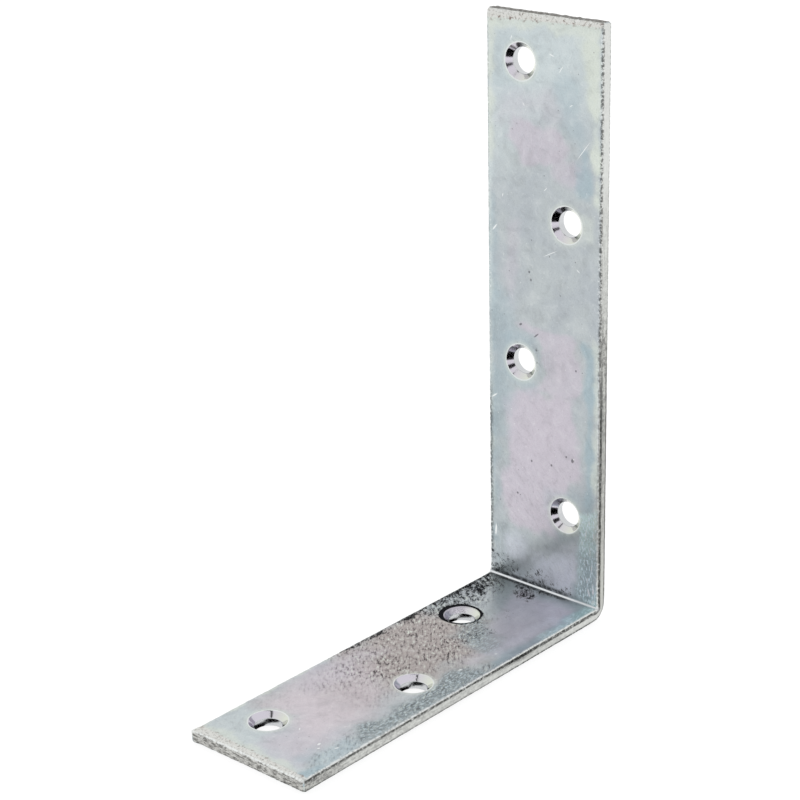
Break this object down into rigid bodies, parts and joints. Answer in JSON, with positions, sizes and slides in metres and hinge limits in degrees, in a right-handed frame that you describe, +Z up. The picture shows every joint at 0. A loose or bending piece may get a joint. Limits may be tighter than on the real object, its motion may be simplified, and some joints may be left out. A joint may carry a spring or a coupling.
{
  "type": "angle bracket",
  "caption": "Flat steel strip folded once to a right angle, with unequal legs and staggered countersunk screw holes, for joining two timbers.",
  "frame": {"origin": "the heel: where the outer faces of the two legs would meet, half-way across the strip", "axes": "+Z up along the upright leg, +X along the foot away from the upright, +Y across the strip; the foot's underside is on z = 0 and the upright's back on x = 0"},
  "size_m": [0.1, 0.032, 0.14],
  "materials": {
    "zinc_plate": "bright zinc plating with a pale blue iridescent passivation, satin, scuffed"
  },
  "bodies": {
    "root": {"angle_bracket": "zinc_plate"}
  },
  "joints": []
}
